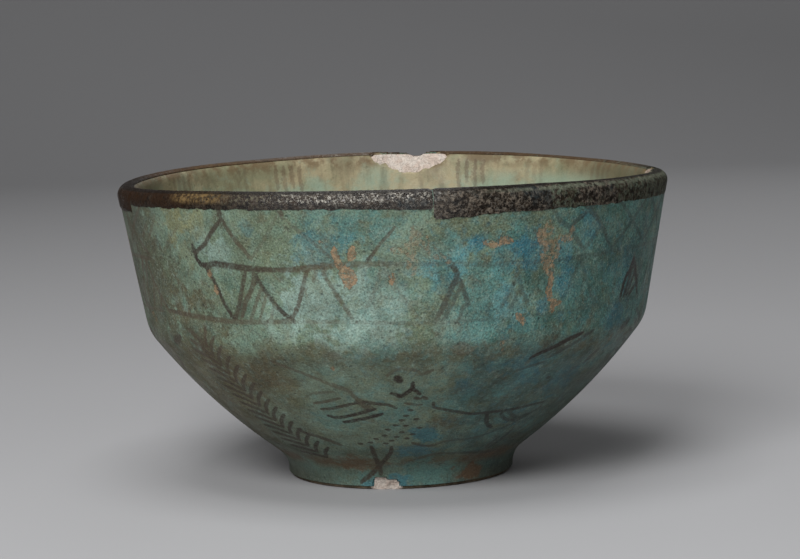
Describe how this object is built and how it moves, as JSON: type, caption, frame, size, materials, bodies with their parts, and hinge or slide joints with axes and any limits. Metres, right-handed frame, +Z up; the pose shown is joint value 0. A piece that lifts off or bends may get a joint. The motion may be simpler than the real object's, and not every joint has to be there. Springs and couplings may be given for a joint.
{
  "type": "footed bowl",
  "caption": "Carinated faience bowl on a low disc foot, with a flaring upper wall, blue-green glaze inside and out and a dark band brushed over the lip; holds food or drink.",
  "frame": {"origin": "centre of the resting plane under the foot", "axes": "+Z up along the bowl's axis; the painted front faces -Y, with +X to its right"},
  "size_m": [0.1506, 0.1506, 0.0823],
  "materials": {
    "faience_paste": "bare granular quartz paste",
    "outer_glaze": "weathered satin blue-green alkaline glaze with dark painted lines",
    "inner_glaze": "weathered satin pale olive alkaline glaze",
    "rim_band": "pitted brown-black brushed band"
  },
  "bodies": {
    "root": {"bowl_body": "faience_paste", "foot_disc": "faience_paste", "outer_glaze": "outer_glaze", "inner_glaze": "inner_glaze", "rim_band_narrow": "rim_band", "rim_band_wide": "rim_band"}
  },
  "joints": []
}
